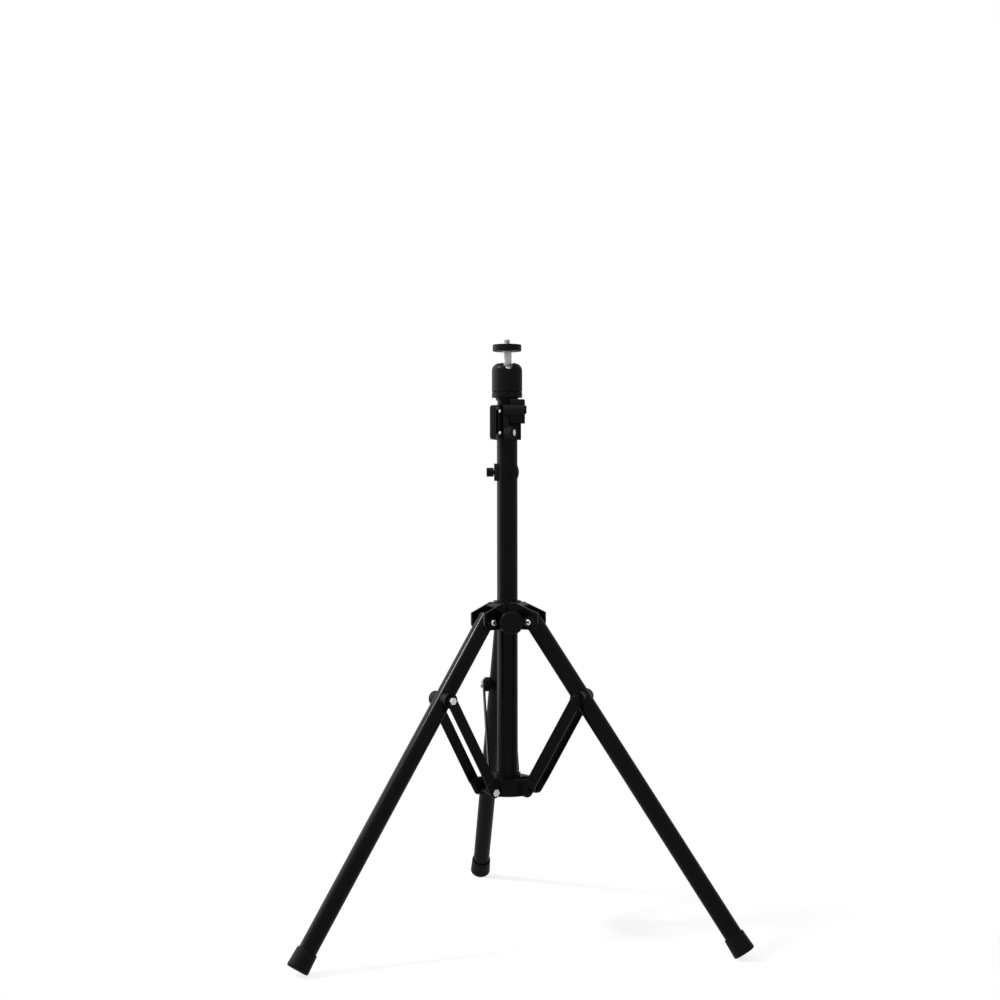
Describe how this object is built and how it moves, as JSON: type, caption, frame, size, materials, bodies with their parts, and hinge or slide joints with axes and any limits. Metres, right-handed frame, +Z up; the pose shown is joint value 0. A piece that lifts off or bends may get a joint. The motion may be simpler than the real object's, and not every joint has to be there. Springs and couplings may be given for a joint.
{
  "type": "portable projector stand",
  "caption": "Black folding tripod stand with braced tubular legs, a telescoping mast with a flip clamp, and a small ball head with a camera screw for a portable projector.",
  "frame": {"origin": "on the floor, at the centre of the open stand's footprint box", "axes": "+Z up along the mast, +Y toward the rear leg, -Y toward the hub's knob and the ball head's notch"},
  "size_m": [0.4662, 0.407, 0.6326],
  "materials": {
    "black_paint": "satin",
    "black_plastic": "satin",
    "knob_plastic": "satin",
    "black_alloy": "satin",
    "bright_steel": "polished",
    "zinc_steel": "satin",
    "black_rubber": "matte"
  },
  "bodies": {
    "column": {"column_tube": "black_paint", "column_plug": "black_plastic", "collar": "black_plastic", "clamp_body": "black_plastic", "clamp_pin": "zinc_steel", "clamp_bolt": "black_plastic", "clamp_screw": "zinc_steel", "thumb_saddle": "black_plastic", "saddle_rivet": "black_paint", "collar_bolt_rear": "black_paint", "collar_bolt_left": "black_paint", "collar_bolt_right": "black_paint"},
    "hub": {"hub": "black_paint", "hub_bush": "black_plastic", "leg_pivot_rear": "zinc_steel", "leg_pivot_left": "zinc_steel", "leg_pivot_right": "zinc_steel"},
    "hub_knob": {"hub_knob": "knob_plastic"},
    "thumb_screw": {"thumb_screw": "knob_plastic"},
    "clamp_lever": {"clamp_lever": "knob_plastic"},
    "mast": {"mast_tube": "black_paint", "mast_collet": "black_plastic", "head_base": "black_alloy"},
    "head": {"head_housing": "black_alloy"},
    "platform": {"ball_stem": "bright_steel", "platform": "black_alloy", "platform_pad": "black_rubber", "camera_screw": "bright_steel"},
    "leg_rear": {"leg_tube_rear": "black_paint", "foot_rear": "black_rubber", "leg_spacers_rear": "black_plastic"},
    "leg_left": {"leg_tube_left": "black_paint", "foot_left": "black_rubber", "leg_spacers_left": "black_plastic"},
    "leg_right": {"leg_tube_right": "black_paint", "foot_right": "black_rubber", "leg_spacers_right": "black_plastic"},
    "brace_rear": {"brace_bars_rear": "black_paint", "brace_bolts_rear": "black_paint"},
    "brace_left": {"brace_bars_left": "black_paint", "brace_bolts_left": "black_paint"},
    "brace_right": {"brace_bars_right": "black_paint", "brace_bolts_right": "black_paint"}
  },
  "joints": [
    {"name": "hub_slide", "type": "slide", "parent": "column", "child": "hub", "axis": [0, 0, 1], "range_m": [0, 0.03071]},
    {"name": "leg_rear_fold", "type": "hinge", "parent": "hub", "child": "leg_rear", "pos_m": [0, -0.03361, 0.33321], "axis": [-1, 0, 0], "range_deg": [0, 29.45]},
    {"name": "leg_left_fold", "type": "hinge", "parent": "hub", "child": "leg_left", "pos_m": [-0.02598, -0.07861, 0.33321], "axis": [0.5, -0.866, 0], "range_deg": [0, 29.45]},
    {"name": "leg_right_fold", "type": "hinge", "parent": "hub", "child": "leg_right", "pos_m": [0.02598, -0.07861, 0.33321], "axis": [0.5, 0.866, 0], "range_deg": [0, 29.45]},
    {"name": "brace_rear_fold", "type": "hinge", "parent": "column", "child": "brace_rear", "pos_m": [0, -0.03561, 0.15469], "axis": [1, 0, 0], "range_deg": [0, 23.7]},
    {"name": "brace_left_fold", "type": "hinge", "parent": "column", "child": "brace_left", "pos_m": [-0.02425, -0.07761, 0.15469], "axis": [-0.5, 0.866, 0], "range_deg": [0, 23.7]},
    {"name": "brace_right_fold", "type": "hinge", "parent": "column", "child": "brace_right", "pos_m": [0.02425, -0.07761, 0.15469], "axis": [-0.5, -0.866, 0], "range_deg": [0, 23.7]},
    {"name": "hub_knob_turn", "type": "hinge", "parent": "hub", "child": "hub_knob", "pos_m": [0, -0.09961, 0.33321], "axis": [0, -1, 0], "continuous": true},
    {"name": "mast_slide", "type": "slide", "parent": "column", "child": "mast", "axis": [0, 0, 1], "range_m": [0, 0.27]},
    {"name": "clamp_lever_swing", "type": "hinge", "parent": "column", "child": "clamp_lever", "pos_m": [-0.00914, -0.07758, 0.5445], "axis": [0, 0, 1], "range_deg": [0, 100]},
    {"name": "thumb_screw_turn", "type": "hinge", "parent": "column", "child": "thumb_screw", "pos_m": [-0.02183, -0.06085, 0.4915], "axis": [-0.9921, 0.1253, 0], "continuous": true},
    {"name": "head_pan", "type": "hinge", "parent": "mast", "child": "head", "pos_m": [0, -0.06361, 0.5768], "axis": [0, 0, 1], "continuous": true},
    {"name": "ball_tilt", "type": "hinge", "parent": "head", "child": "platform", "pos_m": [0, -0.06361, 0.5972], "axis": [1, 0, 0], "range_deg": [-10, 35]}
  ],
  "couplings": [
    {"joint": "leg_rear_fold", "follows": "hub_slide", "rad_per_m": 16.709},
    {"joint": "leg_left_fold", "follows": "hub_slide", "rad_per_m": 16.709},
    {"joint": "leg_right_fold", "follows": "hub_slide", "rad_per_m": 16.709},
    {"joint": "brace_rear_fold", "follows": "hub_slide", "rad_per_m": 13.443},
    {"joint": "brace_left_fold", "follows": "hub_slide", "rad_per_m": 13.443},
    {"joint": "brace_right_fold", "follows": "hub_slide", "rad_per_m": 13.443}
  ]
}
